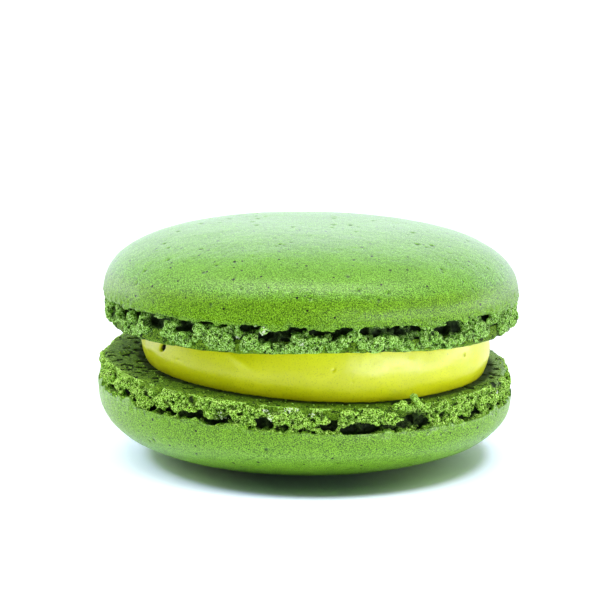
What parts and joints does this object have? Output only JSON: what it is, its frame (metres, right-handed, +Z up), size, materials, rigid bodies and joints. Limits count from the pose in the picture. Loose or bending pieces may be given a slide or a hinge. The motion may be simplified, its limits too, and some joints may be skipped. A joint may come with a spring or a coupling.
{
  "type": "french macaron",
  "caption": "French macaron: smooth domed green shells, each with a ruffled crumbly foot, round a thick layer of yellow cream; stands flat on its lower crown.",
  "frame": {"origin": "under the middle of the biscuit's outline, on the surface that it stands on", "axes": "+Z up, through the stack; -Y is the side that the filling shows most on; the biscuit is nearly round about +Z"},
  "size_m": [0.0483, 0.0478, 0.0269],
  "materials": {
    "shell": "baked almond meringue, dry and matte with a faint sheen, pricked with tiny pores; the foot is an open crumb",
    "cream": "smooth yellow cream, satin, slightly translucent"
  },
  "bodies": {
    "root": {"upper_shell": "shell", "filling": "cream", "lower_shell": "shell"}
  },
  "joints": []
}
